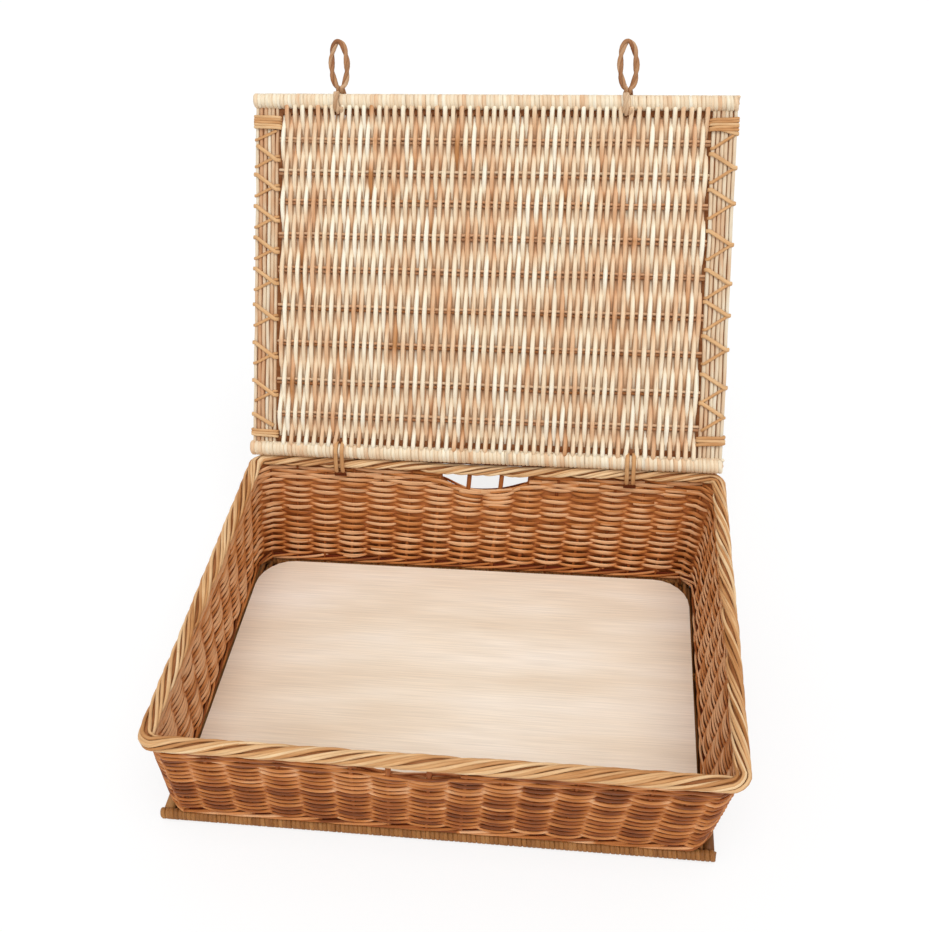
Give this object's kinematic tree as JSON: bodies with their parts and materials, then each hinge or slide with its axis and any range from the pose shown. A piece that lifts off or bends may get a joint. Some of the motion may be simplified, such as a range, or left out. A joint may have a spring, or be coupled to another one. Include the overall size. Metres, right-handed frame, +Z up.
{
  "type": "pie basket",
  "caption": "Rectangular willow basket with a hinged flat lid, hand-holes, two closure loops and a loose plywood floor.",
  "frame": {"origin": "middle of the base's underside", "axes": "+X to the basket's right seen from the front, +Y towards the hinged back, +Z up"},
  "size_m": [0.508, 0.6043, 0.5113],
  "materials": {
    "willow_siding": "satin",
    "willow_border": "satin",
    "willow_lid": "satin",
    "willow_lacing": "satin",
    "willow_loop": "satin",
    "plywood": "matte"
  },
  "bodies": {
    "basket": {"base_weave": "willow_siding", "base_stick_1": "willow_siding", "base_stick_2": "willow_siding", "base_stick_3": "willow_siding", "base_stick_4": "willow_siding", "base_front_edge": "willow_siding", "base_back_edge": "willow_siding", "base_left_rod": "willow_siding", "base_right_rod": "willow_siding", "upsett_front": "willow_siding", "upsett_back": "willow_siding", "upsett_left": "willow_siding", "upsett_right": "willow_siding", "siding_front": "willow_siding", "siding_back": "willow_siding", "siding_left": "willow_siding", "siding_right": "willow_siding", "corner_front_left": "willow_siding", "corner_front_right": "willow_siding", "corner_back_left": "willow_siding", "corner_back_right": "willow_siding", "handhole_stake_front_1": "willow_siding", "handhole_stake_front_2": "willow_siding", "handhole_stake_back_1": "willow_siding", "handhole_stake_back_2": "willow_siding", "border_front": "willow_border", "border_back": "willow_border", "border_left": "willow_border", "border_right": "willow_border", "hinge_tie_left": "willow_lacing", "hinge_tie_right": "willow_lacing"},
    "floor": {"floor_board": "plywood"},
    "lid": {"lid_weave": "willow_lid", "lid_stick_1": "willow_lid", "lid_stick_2": "willow_lid", "lid_stick_3": "willow_lid", "lid_stick_4": "willow_lid", "lid_stick_5": "willow_lid", "lid_stick_6": "willow_lid", "lid_stick_7": "willow_lid", "lid_stick_8": "willow_lid", "lid_stick_9": "willow_lid", "lid_rear_edge": "willow_lid", "lid_front_edge": "willow_lid", "lid_side_rod_left_1": "willow_lid", "lid_side_rod_left_2": "willow_lid", "lid_side_rod_left_3": "willow_lid", "lid_side_rod_left_4": "willow_lid", "lid_side_rod_right_1": "willow_lid", "lid_side_rod_right_2": "willow_lid", "lid_side_rod_right_3": "willow_lid", "lid_side_rod_right_4": "willow_lid", "lid_binding_left_rear": "willow_lacing", "lid_binding_left_front": "willow_lacing", "lid_binding_right_rear": "willow_lacing", "lid_binding_right_front": "willow_lacing", "lid_lacing_left": "willow_lacing", "lid_lacing_right": "willow_lacing"},
    "loop_left": {"closure_loop_left": "willow_loop"},
    "loop_right": {"closure_loop_right": "willow_loop"}
  },
  "joints": [
    {"name": "lid_hinge", "type": "hinge", "parent": "basket", "child": "lid", "pos_m": [0.013, 0.188, 0.1478], "axis": [1, 0, 0], "range_deg": [0, 120.5]},
    {"name": "loop_left_turn", "type": "hinge", "parent": "lid", "child": "loop_left", "pos_m": [-0.143, 0.37741, 0.45688], "axis": [1, 0, 0], "range_deg": [-90, 10]},
    {"name": "loop_right_turn", "type": "hinge", "parent": "lid", "child": "loop_right", "pos_m": [0.15, 0.37741, 0.45688], "axis": [1, 0, 0], "range_deg": [-90, 10]},
    {"name": "floor_lift", "type": "slide", "parent": "basket", "child": "floor", "axis": [0.0764, 0, 0.9971], "range_m": [0, 0.105]}
  ]
}
